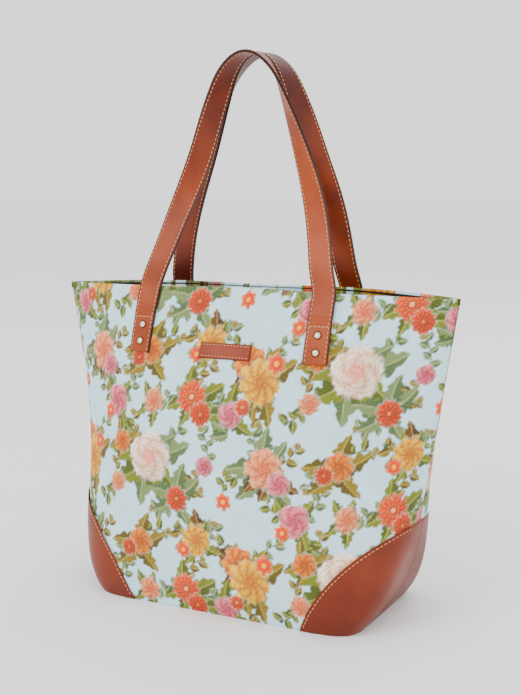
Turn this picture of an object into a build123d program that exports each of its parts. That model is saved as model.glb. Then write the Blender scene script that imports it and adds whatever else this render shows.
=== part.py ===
from build123d import *
from math import atan2, cos, exp, pi, sin
import os

# Driving dimensions, in mm. The bag stands on its base at Z = 0 with the middle of the base at the
# origin. X runs to the right along the front, and the front faces -Y.
bag_height = 300.0
rim_half_width = 210.0
base_half_width = 136.0
base_half_depth = 74.0
mouth_half_depth = 36.0
pinch_reach = 0.36
corner_dip = 4.0

canvas = 1.6
lining = 0.8
layer_gap = 0.3
lining_drop = 1.5
floor_clearance = 0.6
board_thickness = 2.0
board_clearance = 3.0

leather = 1.3
patch_gap = 0.2
patch_foot = 88.0
patch_bulge = (120.0, 53.0)
patch_top = (173.0, 95.0)

label_width = 54.0
label_height = 14.0
label_centre_height = 244.0
label_corner = 1.5

strap_width = 23.0
strap_leather = 1.3
strap_glue_gap = 0.15
strap_spacing = 184.0
strap_end_height = 238.0
strap_seat_gap = 0.5
strap_seat_top = 5.0
handle_rise = 217.0
front_apex = 5.0
back_apex = 30.0

rivet_drops = (37.0, 52.0)
rivet_head_radius = 3.9
rivet_head_height = 1.7
rivet_back_height = 1.0
rivet_post_radius = 1.4
rivet_hole_radius = 1.5
rivet_seat = 0.2

snap_radius = 9.0
snap_height = 1.8
snap_stud_radius = 3.0
snap_stud_height = 1.5
snap_drop = 26.0
snap_seat = 0.2

# How the cloth is drawn in towards the base and the mouth: the belly just above the base, how
# quickly the base's edges round off upwards, and how the section turns from a rounded oblong at
# the base into a lens at the rim, pinched a little in the middle.
belly_half_depth = 80.0
flare = 0.168
side_tuck_height = 30.0
front_tuck_height = 15.0
closing_power = 2.9
base_squareness = 5.5
base_flatness = 8.0
squareness_height = 35.0
flatness_height = 55.0
mouth_pinch = 0.5
pinch_power = 6.0
section_levels = (-0.03, 0, 0.03, 0.08, 0.16, 0.28, 0.42, 0.56, 0.69, 0.8, 0.89, 0.96, 1.03)
section_spans = 20

far = 4 * rim_half_width
parts = []


def section_point(level, angle):
    """A point on the front half of the section at a level, as a share of the height. The angle
    runs from seam to seam."""
    height = level * bag_height
    side_tuck = rim_half_width - flare * bag_height - base_half_width
    half_width = rim_half_width - flare * (bag_height - height)
    half_width -= side_tuck * exp(-height / side_tuck_height)
    half_depth = belly_half_depth - (belly_half_depth - mouth_half_depth) * max(level, 0) ** closing_power
    half_depth -= (belly_half_depth - base_half_depth) * exp(-height / front_tuck_height)
    side_power = 3.5 - 1.1 * level + base_squareness * exp(-height / squareness_height)
    front_power = 1 + base_flatness * exp(-height / flatness_height)
    pinch = mouth_pinch * max(level, 0) ** pinch_power

    across = abs(cos(angle)) ** (2 / side_power) * (1 if cos(angle) > 0 else -1)
    forward = sin(angle) ** (2 / front_power) * (1 - pinch * exp(-((across / pinch_reach) ** 2)))
    return Vector(half_width * across, -half_depth * forward, 0)


def section_curve(level, inset):
    """The front half of a level section, moved inwards in its plane as far as the mid plane."""
    step = 0.002

    def moved(angle):
        before = section_point(level, max(angle - step, 0))
        after = section_point(level, min(angle + step, pi))
        along = (after - before).normalized()
        return section_point(level, angle) + Vector(along.Y, -along.X, 0) * inset

    seam = 0.0
    while moved(seam).Y > 0:
        seam += step
    span = (pi - 2 * seam) / section_spans
    points = [moved(seam + span * i) for i in range(section_spans + 1)]
    points[0].Y = points[-1].Y = 0
    return Edge.make_spline(points, parameters=[i / section_spans for i in range(section_spans + 1)])


def front_wall(outer, inner, bottom=0.0, drop=0.0):
    """The front half of one layer of the bag, between two depths below the form's face."""
    with BuildPart() as layer:
        for level in section_levels:
            with BuildSketch(Plane.XY.offset(bag_height * level)):
                with BuildLine():
                    outside = section_curve(level, outer)
                    inside = section_curve(level, inner)
                    add([outside, inside])
                    Line(outside @ 0, inside @ 0)
                    Line(outside @ 1, inside @ 1)
                make_face()
        loft()
        split(bisect_by=Plane.XY.offset(bottom), keep=Keep.TOP)
        with BuildSketch(Plane.XZ):
            with BuildLine():
                rim = ThreePointArc(
                    (-rim_half_width, bag_height - corner_dip - drop),
                    (0, bag_height - drop),
                    (rim_half_width, bag_height - corner_dip - drop),
                )
                Polyline(
                    rim @ 1,
                    (far, bag_height - corner_dip - drop),
                    (far, far),
                    (-far, far),
                    (-far, bag_height - corner_dip - drop),
                    rim @ 0,
                )
            make_face()
        extrude(amount=far, both=True, mode=Mode.SUBTRACT)
    return layer.part


def outline_at(inset):
    """The whole outline of the bag where it stands, moved inwards."""
    half = section_curve(0, inset)
    with BuildSketch() as outline:
        with BuildLine():
            add([half, half.mirror(Plane.XZ)])
        make_face()
    return outline.sketch


def on_front(x, height):
    """Where the front's outer face is at a place, and which way it faces."""
    return front_face.find_intersection_points(Axis((x, -far, height), (0, 1, 0)))[0]


def finish(part, name):
    part.label = name
    export_step(part, f"parts/{name}.step")
    parts.append(part)


os.makedirs("parts", exist_ok=True)

# The front panel comes first, because everything sewn to the front is placed on its face.
whole_front = front_wall(0, canvas)
front_face = whole_front.faces().sort_by(SortBy.AREA)[-1]

# One plane for each rivet of the front, on the panel's face and looking out along its normal.
rivet_planes = [
    Plane(origin=spot, z_dir=normal)
    for side in (-1, 1)
    for spot, normal in (
        on_front(side * strap_spacing / 2, bag_height - drop) for drop in rivet_drops
    )
]
lining_depth = canvas + layer_gap
strap_face_height = strap_seat_gap + 2 * strap_leather + strap_glue_gap

# The outer cloth: a front and a back panel with holes for the rivets, and the base between them.
with BuildPart() as front_panel:
    add(whole_front)
    with Locations(*rivet_planes):
        Cylinder(rivet_hole_radius, 8 * canvas, mode=Mode.SUBTRACT)
finish(front_panel.part, "front_panel")
finish(mirror(front_panel.part, about=Plane.XZ), "back_panel")

with BuildPart() as base_panel:
    with BuildSketch():
        add(outline_at(canvas + floor_clearance))
    extrude(amount=canvas)
finish(base_panel.part, "base_panel")

board_bottom = canvas + layer_gap
with BuildPart() as base_board:
    with BuildSketch(Plane.XY.offset(board_bottom)):
        add(outline_at(board_clearance))
    extrude(amount=board_thickness)
finish(base_board.part, "base_board")

# The lining: a front and a back wall that stop just below the rim, and a floor over the board.
lining_bottom = board_bottom + board_thickness + layer_gap
with BuildPart() as front_lining:
    add(front_wall(lining_depth, lining_depth + lining, bottom=lining_bottom, drop=lining_drop))
    with Locations(*rivet_planes):
        Cylinder(rivet_hole_radius, 8 * canvas, mode=Mode.SUBTRACT)
finish(front_lining.part, "front_lining")
finish(mirror(front_lining.part, about=Plane.XZ), "back_lining")

with BuildPart() as floor_lining:
    with BuildSketch(Plane.XY.offset(lining_bottom)):
        add(outline_at(lining_depth + lining + floor_clearance))
    extrude(amount=lining)
finish(floor_lining.part, "floor_lining")

# Leather patches over the bottom corners of both panels, from the panel's foot to its seam.
with BuildPart() as corner_patch:
    add(front_wall(-patch_gap - leather, -patch_gap))
    with BuildSketch(Plane.XZ):
        with BuildLine():
            edge = ThreePointArc((patch_foot, 0), patch_bulge, patch_top)
            Polyline(edge @ 1, (far, patch_top[1]), (far, 0), edge @ 0)
        make_face()
    extrude(amount=far, mode=Mode.INTERSECT)
left_patch = mirror(corner_patch.part, about=Plane.YZ)
for side in ("front", "back"):
    for hand, patch in (("right", corner_patch.part), ("left", left_patch)):
        patch = patch if side == "front" else mirror(patch, about=Plane.XZ)
        finish(patch, f"{side}_{hand}_corner_patch")

# A plain leather label between the handles.
with BuildPart() as label:
    add(front_wall(-patch_gap - leather, -patch_gap))
    with BuildSketch(Plane.XZ):
        with Locations((0, label_centre_height)):
            RectangleRounded(label_width, label_height, label_corner)
    extrude(amount=far, mode=Mode.INTERSECT)
finish(label.part, "label")

# The handles. Each is a flat strap of two leathers. It lies on its panel at both ends, where its
# face looks out, and turns on its way up until that face is the underside of the arch.
seat_samples = 5
free_samples = 14


def strap_planes(apex, climb):
    """Planes across a handle over the front, from its right end to its left one. Their X runs
    across the strap and their Y points into its backing. The free part climbs by rows of
    (share of the rise, half width, depth)."""
    seat_rise = (bag_height - strap_seat_top - strap_end_height) / seat_samples
    planes = []
    for i in range(seat_samples + 1):
        spot, normal = on_front(strap_spacing / 2, strap_end_height + seat_rise * i)
        across = Vector(-normal.Y, normal.X, 0)
        lifted = spot + normal * (strap_seat_gap + strap_leather + strap_glue_gap / 2)
        planes.append(Plane(lifted, x_dir=across, z_dir=normal.cross(across)))

    leaves = planes[-1]
    path = Edge.make_spline(
        [leaves.origin]
        + [Vector(x, y, bag_height + handle_rise * share) for share, x, y in climb]
        + [Vector(0, apex, bag_height + handle_rise)],
        tangents=[leaves.z_dir, Vector(-1, 0, 0)],
    )
    first_turn = atan2(-leaves.x_dir.Y, leaves.x_dir.X)
    for i in range(1, free_samples + 1):
        freed = i / free_samples
        turn = first_turn * (1 - freed) ** 3 + pi / 2 * freed**2
        across = Vector(cos(turn), -sin(turn), 0)
        planes.append(Plane(path.position_at(freed), x_dir=across, z_dir=path.tangent_at(freed)))

    for right in planes[-2::-1]:
        spot, across, up = right.origin, right.x_dir, right.z_dir
        planes.append(
            Plane(
                Vector(-spot.X, spot.Y, spot.Z),
                x_dir=Vector(-across.X, across.Y, across.Z),
                z_dir=Vector(up.X, -up.Y, -up.Z),
            )
        )
    return planes


def strap_leather_between(planes, low, high):
    """One leather of a strap, between two depths behind the strap's middle."""
    with BuildPart() as made:
        for plane in planes:
            with BuildSketch(plane):
                with Locations((0, (low + high) / 2)):
                    Rectangle(strap_width, high - low)
        loft()
        with Locations(*rivet_planes):
            Cylinder(rivet_hole_radius, 8 * canvas, mode=Mode.SUBTRACT)
    return made.part


front_climb = [
    (0.075, 87.5, -25.5),
    (0.16, 82.5, -18.5),
    (0.28, 75.5, -9.0),
    (0.41, 66.5, -1.0),
    (0.55, 55.5, 4.0),
    (0.70, 44.0, 5.0),
    (0.84, 32.5, 5.0),
    (0.94, 21.0, 5.0),
]
back_climb = [
    (0.075, 88.7, -25.7),
    (0.16, 85.3, -24.0),
    (0.28, 79.5, -24.4),
    (0.41, 70.5, -25.4),
    (0.55, 58.5, -26.5),
    (0.70, 46.0, -28.0),
    (0.84, 33.5, -29.0),
    (0.94, 21.5, -30.0),
]
for side, apex, climb in (("front", front_apex, front_climb), ("back", -back_apex, back_climb)):
    planes = strap_planes(apex, climb)
    for name, low in (("face", -strap_leather - strap_glue_gap / 2), ("backing", strap_glue_gap / 2)):
        strap = strap_leather_between(planes, low, low + strap_leather)
        finish(strap if side == "front" else mirror(strap, about=Plane.XZ), f"{side}_handle_{name}")

# The rivets, each a head with a socket outside and a back with a post inside.
inside_face = -(lining_depth + lining)
outside_face = strap_face_height + rivet_seat
socket_depth = rivet_head_height * 0.55
with BuildPart() as rivet_head:
    with BuildSketch(Plane.XY.offset(outside_face)):
        Circle(rivet_head_radius)
    extrude(amount=rivet_head_height)
    chamfer(rivet_head.edges().sort_by(Axis.Z)[-1], rivet_head_height * 0.6)
    with BuildSketch(Plane.XY.offset(outside_face)):
        Circle(rivet_hole_radius)
    extrude(amount=socket_depth, mode=Mode.SUBTRACT)
with BuildPart() as rivet_back:
    with BuildSketch(Plane.XY.offset(inside_face - rivet_seat - rivet_back_height)):
        Circle(rivet_head_radius)
    extrude(amount=rivet_back_height)
    with BuildSketch(Plane.XY.offset(inside_face - rivet_seat)):
        Circle(rivet_post_radius)
    extrude(amount=outside_face + socket_depth - rivet_seat - inside_face + rivet_seat)
for side in ("front", "back"):
    for number, plane in enumerate(rivet_planes):
        place = ("left_upper", "left_lower", "right_upper", "right_lower")[number]
        for piece, made in (("head", rivet_head.part), ("back", rivet_back.part)):
            placed = made.moved(plane.location)
            placed = placed if side == "front" else mirror(placed, about=Plane.XZ)
            finish(placed, f"{side}_rivet_{piece}_{place}")

# A magnetic snap at the middle of the mouth, its socket on the front lining, its stud opposite.
snap_spot, snap_normal = on_front(0, bag_height - snap_drop)
snap_plane = Plane(
    origin=snap_spot - snap_normal * (lining_depth + lining + snap_seat), z_dir=snap_normal * -1
)
with BuildPart() as snap_socket:
    with BuildSketch(snap_plane):
        Circle(snap_radius)
        Circle(snap_stud_radius + snap_seat, mode=Mode.SUBTRACT)
    extrude(amount=snap_height)
finish(snap_socket.part, "snap_socket")
with BuildPart() as snap_stud:
    with BuildSketch(snap_plane):
        Circle(snap_radius)
    extrude(amount=snap_height)
    with BuildSketch(snap_plane.offset(snap_height)):
        Circle(snap_stud_radius)
    extrude(amount=snap_stud_height)
finish(mirror(snap_stud.part, about=Plane.XZ), "snap_stud")
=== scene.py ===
import bmesh
import bpy
import numpy as np
from mathutils import Matrix, Vector
from mathutils.bvhtree import BVHTree


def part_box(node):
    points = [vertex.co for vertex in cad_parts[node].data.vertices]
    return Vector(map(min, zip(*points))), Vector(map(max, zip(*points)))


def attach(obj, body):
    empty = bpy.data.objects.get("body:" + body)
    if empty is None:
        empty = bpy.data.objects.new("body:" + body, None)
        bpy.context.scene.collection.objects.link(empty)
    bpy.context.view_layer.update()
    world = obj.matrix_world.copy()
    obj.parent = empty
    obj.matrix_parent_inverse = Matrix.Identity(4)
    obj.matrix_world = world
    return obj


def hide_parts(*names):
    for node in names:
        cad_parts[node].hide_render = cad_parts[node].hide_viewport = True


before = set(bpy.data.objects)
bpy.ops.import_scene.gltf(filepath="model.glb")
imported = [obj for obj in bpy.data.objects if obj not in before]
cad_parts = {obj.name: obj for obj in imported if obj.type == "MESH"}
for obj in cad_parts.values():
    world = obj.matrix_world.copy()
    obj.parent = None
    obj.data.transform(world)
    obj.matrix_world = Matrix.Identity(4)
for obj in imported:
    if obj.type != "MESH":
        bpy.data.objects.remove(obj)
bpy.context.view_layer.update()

bl_info = {
    "name": "Printed tote bag",
    "version": (1, 0, 0),
    "blender": (4, 5, 0),
    "location": "3D View > Sidebar > Tote",
    "description": "Dresses a modelled tote bag in printed cloth, stitched leather and brass",
    "category": "Object",
}

# The bag's form, in metres. The frame gives its height and the width of its mouth, and the rest
# says how the cloth is drawn in towards the base and the mouth.
BAG_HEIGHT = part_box("front_panel")[1].z
RIM_HALF_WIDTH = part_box("front_panel")[1].x
BASE_HALF_WIDTH = 0.136
BASE_HALF_DEPTH = 0.074
BELLY_HALF_DEPTH = 0.080
MOUTH_HALF_DEPTH = 0.036
CORNER_DIP = 0.004
FLARE = 0.168
SIDE_TUCK_HEIGHT = 0.030
FRONT_TUCK_HEIGHT = 0.015
CLOSING_POWER = 2.9
SQUARENESS_HEIGHT = 0.035
FLATNESS_HEIGHT = 0.055
MOUTH_PINCH = 0.5
PINCH_POWER = 6.0
PINCH_REACH = 0.36

# The parts sewn to it.
PATCH_FOOT = 0.088
PATCH_BULGE = (0.120, 0.053)
PATCH_TOP = (0.173, 0.095)
PATCH_LIFT = 0.0015
LABEL_HEIGHT = 0.244
STRAP_LEG = 0.092
STRAP_WIDTH = 0.023
STRAP_LEATHER = 0.0013
STRAP_SEAT_GAP = 0.0005
STRAP_GLUE_GAP = 0.00015
STRAP_END_HEIGHT = 0.238
STRAP_SEAT_TOP = 0.295
HANDLE_RISE = 0.217
RIVET_HEIGHTS = (0.263, 0.248)
# Creases where a handle lifts off its panel: distances from its end, and their height and width.
CREASES = (0.0372, 0.0402, 0.0430)
CREASE_HEIGHT = 0.00045
CREASE_WIDTH = 0.0008
STRAP_CORNER = 0.0004
# Stations along a strap, on its seat and then up to the top of its arch.
SEAT_STATIONS = 96
FREE_STATIONS = 100
# The short rows of stitches across a strap: their distance from its end and their half width.
CROSS_ROW = 0.034
CROSS_ROW_HALF = 0.0075
BACK_STRAP_SHADE = 0.5
# The rivets' domes and the collars round them, as radii and heights that start and end on the axis.
DOME_PROFILE = [
    (0, 0.00192), (0.0008, 0.00188), (0.0016, 0.00172), (0.0023, 0.00142), (0.0028, 0.00096),
    (0.0029, 0.00070), (0.0028, 0.00040), (0, 0.00040),
]
COLLAR_PROFILE = [
    (0, 0.00050), (0.0029, 0.00050), (0.0031, 0.00072), (0.0035, 0.00072), (0.0038, 0.00054),
    (0.0039, 0.00028), (0.0038, 0.00002), (0, 0.00002),
]
RIVET_SEGMENTS = 28
STITCH_WIDTH = 0.0008
STITCH_HEIGHT = 0.0007
# How far along a row of stitches its direction is read.
STITCH_STEP = 0.001

# The cloth's edges. Half the girth turns shares of the girth into lengths. Rows past the rim roll
# the cloth over it, each moved outward and up, and one row at the foot turns it under.
HALF_GIRTH = 0.215
SEAM_WIDTH = 0.0016
SEAM_DEPTH = 0.0008
DEEPEST_DENT = 0.0005
RIM_ROLL = [
    (-0.0001, 0.0005), (-0.0006, 0.0009), (-0.0011, 0.0008), (-0.0015, 0.0002), (-0.0016, -0.0050),
]
RIM_PRINT_RISE = 0.003
FOOT_INWARD = 0.0026
FOOT_RISE = 0.0004
BACK_PRINT_SHIFT = 0.116

# The sewn leather's edges: their roll down to the cloth, the width of their stain, and the groove
# that the stitches press in.
EDGE_ROLL = 0.0011
EDGE_FOOT = 0.0001
EDGE_STAIN = 0.0009
GROOVE_DEPTH = 0.0003
PATCH_STITCH_INSET = 0.0028
PATCH_GROOVE_WIDTH = 0.0007
LABEL_STITCH_INSET = 0.0021
LABEL_STITCH_PITCH = 0.0036
LABEL_GROOVE_WIDTH = 0.0006
LABEL_TONE = 0.3

# The climb of each handle past the rim, as (share of the rise, half width, depth).
FRONT_APEX = 0.005
BACK_APEX = -0.030
FRONT_CLIMB = [
    (0.075, 0.0875, -0.0255),
    (0.16, 0.0825, -0.0185),
    (0.28, 0.0755, -0.009),
    (0.41, 0.0665, -0.001),
    (0.55, 0.0555, 0.004),
    (0.70, 0.044, 0.005),
    (0.84, 0.0325, 0.005),
    (0.94, 0.021, 0.005),
]
BACK_CLIMB = [
    (0.075, 0.0887, -0.0257),
    (0.16, 0.0853, -0.024),
    (0.28, 0.0795, -0.0244),
    (0.41, 0.0705, -0.0254),
    (0.55, 0.0585, -0.0265),
    (0.70, 0.046, -0.028),
    (0.84, 0.0335, -0.029),
    (0.94, 0.0215, -0.030),
]

# The cloth's print repeats in columns that step down by half a repeat. Its sizes are in mm.
MM = 0.001
REPEAT_WIDTH = 200.0
REPEAT_HEIGHT = 180.0
REPEAT_STEP = 90.0
PANEL_COLUMNS = 366
PANEL_ROWS = 256

# The camera, where the photograph's was: its turn and tilt in degrees, its distance and lens.
CAMERA_TURN = 28.1
CAMERA_TILT = 8.68
CAMERA_ROLL = -0.55
CAMERA_DISTANCE = 1.12785
CAMERA_TARGET = (0.0094, 0.00331, 0.24124)
CAMERA_LENS = 81.64
CAMERA_SENSOR = 36.0

# The lights, each with its place, size and power, then how bright the plain surroundings are.
LIGHTS = {
    "key": ((-0.9, -1.9, 1.7), 1.4, 28.0),
    "fill": ((1.8, -1.3, 0.9), 1.6, 9.0),
    "back": ((0.3, 1.8, 1.8), 1.6, 14.0),
}
SURROUNDINGS = 1.6
FLOOR_REACH = 12.0


def linear(code):
    """A colour written as six hex digits, as linear red, green and blue."""
    values = np.array([int(code[i : i + 2], 16) / 255 for i in (0, 2, 4)])
    return np.where(values <= 0.04045, values / 12.92, ((values + 0.055) / 1.055) ** 2.4)


def soft(distance, blur):
    """1 where the distance is well above zero, 0 well below, and a smooth step between."""
    t = np.clip(distance / (2 * blur) + 0.5, 0, 1)
    return t * t * (3 - 2 * t)


def noise(x, y, seed):
    """Smooth noise from -1 to 1 over the plane, the same for the same seed."""
    table = np.random.default_rng(seed).uniform(-1, 1, (64, 64))
    column, row = np.floor(x).astype(int), np.floor(y).astype(int)
    across, up = x - column, y - row
    across, up = across * across * (3 - 2 * across), up * up * (3 - 2 * up)
    column, row = column % 64, row % 64
    right, above = (column + 1) % 64, (row + 1) % 64
    low = table[column, row] * (1 - across) + table[right, row] * across
    high = table[column, above] * (1 - across) + table[right, above] * across
    return low * (1 - up) + high * up


def section(height, angle):
    """Width and depth of the form's front at a height, with the angle running from seam to seam."""
    level = height / BAG_HEIGHT
    half_width = RIM_HALF_WIDTH - FLARE * (BAG_HEIGHT - height)
    side_tuck = RIM_HALF_WIDTH - FLARE * BAG_HEIGHT - BASE_HALF_WIDTH
    half_width = half_width - side_tuck * np.exp(-height / SIDE_TUCK_HEIGHT)
    half_depth = BELLY_HALF_DEPTH - (BELLY_HALF_DEPTH - MOUTH_HALF_DEPTH) * level**CLOSING_POWER
    half_depth = half_depth - (BELLY_HALF_DEPTH - BASE_HALF_DEPTH) * np.exp(-height / FRONT_TUCK_HEIGHT)
    side_power = 3.5 - 1.1 * level + 5.5 * np.exp(-height / SQUARENESS_HEIGHT)
    front_power = 1 + 8 * np.exp(-height / FLATNESS_HEIGHT)
    pinch = MOUTH_PINCH * level**PINCH_POWER
    across = np.abs(np.cos(angle)) ** (2 / side_power) * np.sign(np.cos(angle))
    forward = np.abs(np.sin(angle)) ** (2 / front_power)
    forward = forward * (1 - pinch * np.exp(-((across / PINCH_REACH) ** 2)))
    return half_width * across, -half_depth * forward


def blurred(values, width):
    """The table of values, smoothed over its neighbours both ways."""
    weights = np.exp(-np.linspace(-2, 2, 2 * width + 1) ** 2)
    weights /= weights.sum()
    for axis in (0, 1):
        pad = [(0, 0), (0, 0)]
        pad[axis] = (width, width)
        grown = np.pad(values, pad, mode="edge")
        values = np.apply_along_axis(lambda line: np.convolve(line, weights, "valid"), axis, grown)
    return values


class Form:
    """The bag's outer form over a table of heights and of shares of the girth. The share runs from
    -1 at the left seam to 1 at the right one, along the cloth."""

    rows = 151
    columns = 401
    reach = 0.012
    blur = 5

    def __init__(self):
        self.heights = np.linspace(0, BAG_HEIGHT, self.rows)
        shares = np.linspace(-1, 1, self.columns)
        angle = np.linspace(np.pi, 0, 4001)
        self.points = np.zeros((self.rows, self.columns, 3))
        self.girth = np.zeros(self.rows)
        for row, height in enumerate(self.heights):
            x, y = section(height, angle)
            run = np.concatenate([[0], np.cumsum(np.hypot(np.diff(x), np.diff(y)))])
            self.girth[row] = run[-1] / 2
            wanted = (shares + 1) * run[-1] / 2
            self.points[row, :, 0] = np.interp(wanted, run, x)
            self.points[row, :, 1] = np.interp(wanted, run, y)
            self.points[row, :, 2] = height
        self.normals = self.outward()
        self.settle()
        self.normals = self.outward()

    def outward(self):
        along = np.gradient(self.points, axis=1)
        up = np.gradient(self.points, axis=0)
        normals = np.cross(along, up)
        return normals / np.linalg.norm(normals, axis=2, keepdims=True)

    def settle(self):
        """Moves the table onto the outer face of the solid panel, where the two differ a little. The
        first row and the last four take the shift of the row next to them."""
        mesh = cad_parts["front_panel"].data
        tree = BVHTree.FromPolygons(
            [v.co.copy() for v in mesh.vertices], [tuple(p.vertices) for p in mesh.polygons]
        )
        shift = np.zeros((self.rows, self.columns))
        top = self.rows - 4
        for row in range(1, top):
            for column in range(2, self.columns - 2):
                outward = self.normals[row, column]
                start = Vector(self.points[row, column] + outward * self.reach)
                hit = tree.ray_cast(start, -Vector(outward), 2 * self.reach)
                if hit[0] is not None:
                    shift[row, column] = self.reach - hit[3]
        shift[0] = shift[1]
        shift[top:] = shift[top - 1]
        self.points += blurred(shift, self.blur)[:, :, None] * self.normals

    def at(self, share, height, lift=0.0):
        """Points on the front, and their outward normals, for arrays of shares and heights."""
        share, height = np.broadcast_arrays(np.asarray(share, float), np.asarray(height, float))
        column = np.clip((share + 1) / 2 * (self.columns - 1), 0, self.columns - 1.001)
        row = np.clip(height / BAG_HEIGHT * (self.rows - 1), 0, self.rows - 1.001)
        i, j = row.astype(int), column.astype(int)
        v, u = (row - i)[..., None], (column - j)[..., None]

        def read(table):
            low = table[i, j] * (1 - u) + table[i, j + 1] * u
            high = table[i + 1, j] * (1 - u) + table[i + 1, j + 1] * u
            return low * (1 - v) + high * v

        normal = read(self.normals)
        normal /= np.linalg.norm(normal, axis=-1, keepdims=True)
        return read(self.points) + normal * np.asarray(lift)[..., None], normal

    def girth_at(self, height):
        return np.interp(height, self.heights, self.girth)

    def share_of(self, x, height):
        """Which share of the girth lies at a distance from the middle, at a height."""
        row = int(round(height / BAG_HEIGHT * (self.rows - 1)))
        line = self.points[min(max(row, 0), self.rows - 1), :, 0]
        return float(np.interp(x, line, np.linspace(-1, 1, self.columns)))


def fill(store, field, table):
    """Writes a table of numbers into one field of an attribute or a UV map."""
    store.data.foreach_set(field, np.asarray(table, np.float32).reshape(-1))


def sheet_object(name, points, material, colours=None, values=None, flat=None, flip=False):
    """A piece from a table of points. Colours and values become attributes of its points, and flat
    becomes its UV map."""
    rows, columns = points.shape[:2]
    index = np.arange(rows * columns).reshape(rows, columns)
    corners = [index[:-1, :-1], index[:-1, 1:], index[1:, 1:], index[1:, :-1]]
    if flip:
        corners.reverse()
    faces = np.stack(corners, axis=-1).reshape(-1, 4)
    mesh = bpy.data.meshes.new(name)
    mesh.vertices.add(rows * columns)
    mesh.vertices.foreach_set("co", points.reshape(-1).astype(np.float32))
    mesh.loops.add(faces.size)
    mesh.loops.foreach_set("vertex_index", faces.reshape(-1).astype(np.int32))
    mesh.polygons.add(len(faces))
    mesh.polygons.foreach_set("loop_start", np.arange(0, faces.size, 4, dtype=np.int32))
    mesh.update(calc_edges=True)
    if flat is not None:
        fill(mesh.uv_layers.new(name="cloth"), "uv", flat.reshape(-1, 2)[faces.reshape(-1)])
    if colours is not None:
        opaque = np.ones((rows * columns, 4))
        opaque[:, :3] = colours.reshape(-1, 3)
        fill(mesh.attributes.new("print", "FLOAT_COLOR", "POINT"), "color", opaque)
    for key, table in (values or {}).items():
        store = mesh.attributes.new(key, "FLOAT", "POINT")
        fill(store, "value", np.broadcast_to(table, (rows, columns)))
    mesh.shade_smooth()
    mesh.materials.append(material)
    piece = bpy.data.objects.new(name, mesh)
    bpy.context.scene.collection.objects.link(piece)
    return piece


# The print. Each flower is rings of petals, lighter at their tips, with a heart of its own colour.
BLOOMS = {
    "cream": dict(petals=5, rings=6, light="FCF3E4", dark="D6A27C", heart="D9483E", hub=0.30,
                  notch=0.10, ruffle=0.10),
    "gold": dict(petals=9, rings=4, light="F7C928", dark="9C5406", heart="7E2A08", hub=0.16,
                 notch=0.16, ruffle=0.12),
    "amber": dict(petals=8, rings=4, light="EE9A24", dark="8E3A08", heart="5C1A08", hub=0.18,
                  notch=0.16, ruffle=0.12),
    "pink": dict(petals=5, rings=5, light="EE9AA0", dark="982840", heart="7C1428", hub=0.24,
                 notch=0.14, ruffle=0.10),
    "coral": dict(petals=13, rings=3, light="E8704A", dark="8E1C10", heart="F3D6A4", hub=0.15,
                  notch=0.34, ruffle=0.05),
    "russet": dict(petals=11, rings=3, light="D9634A", dark="741A12", heart="E39A68", hub=0.15,
                   notch=0.30, ruffle=0.05),
    "salmon": dict(petals=7, rings=5, light="F6B894", dark="B84A34", heart="B9382A", hub=0.20,
                   notch=0.16, ruffle=0.20),
    "star": dict(petals=6, rings=1, light="F28A4E", dark="C03A20", heart="F6D27A", hub=0.28,
                 notch=0.42, ruffle=0.04),
}
LEAVES = {
    "green": ("83893F", "2B3416"),
    "sage": ("86946C", "35482F"),
    "olive": ("94802A", "302B0A"),
    "brown": ("6E4C1F", "2A180A"),
}
GROUND = "CBE5EC"
HALO = "F4F7F2"
STEM = "55461F"
# How much further from grey the cloth is dyed than the colours above.
RICHNESS = 1.4
# The shares of red, green and blue in a colour's brightness.
BRIGHTNESS = (0.2126, 0.7152, 0.0722)
SPRIG_SEED = 11
FLOWER_SEED = 31


def mixed(low, high, share):
    """Colours between a low and a high one, by an array of shares."""
    share = np.asarray(share)[..., None]
    return low * (1 - share) + high * share


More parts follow.
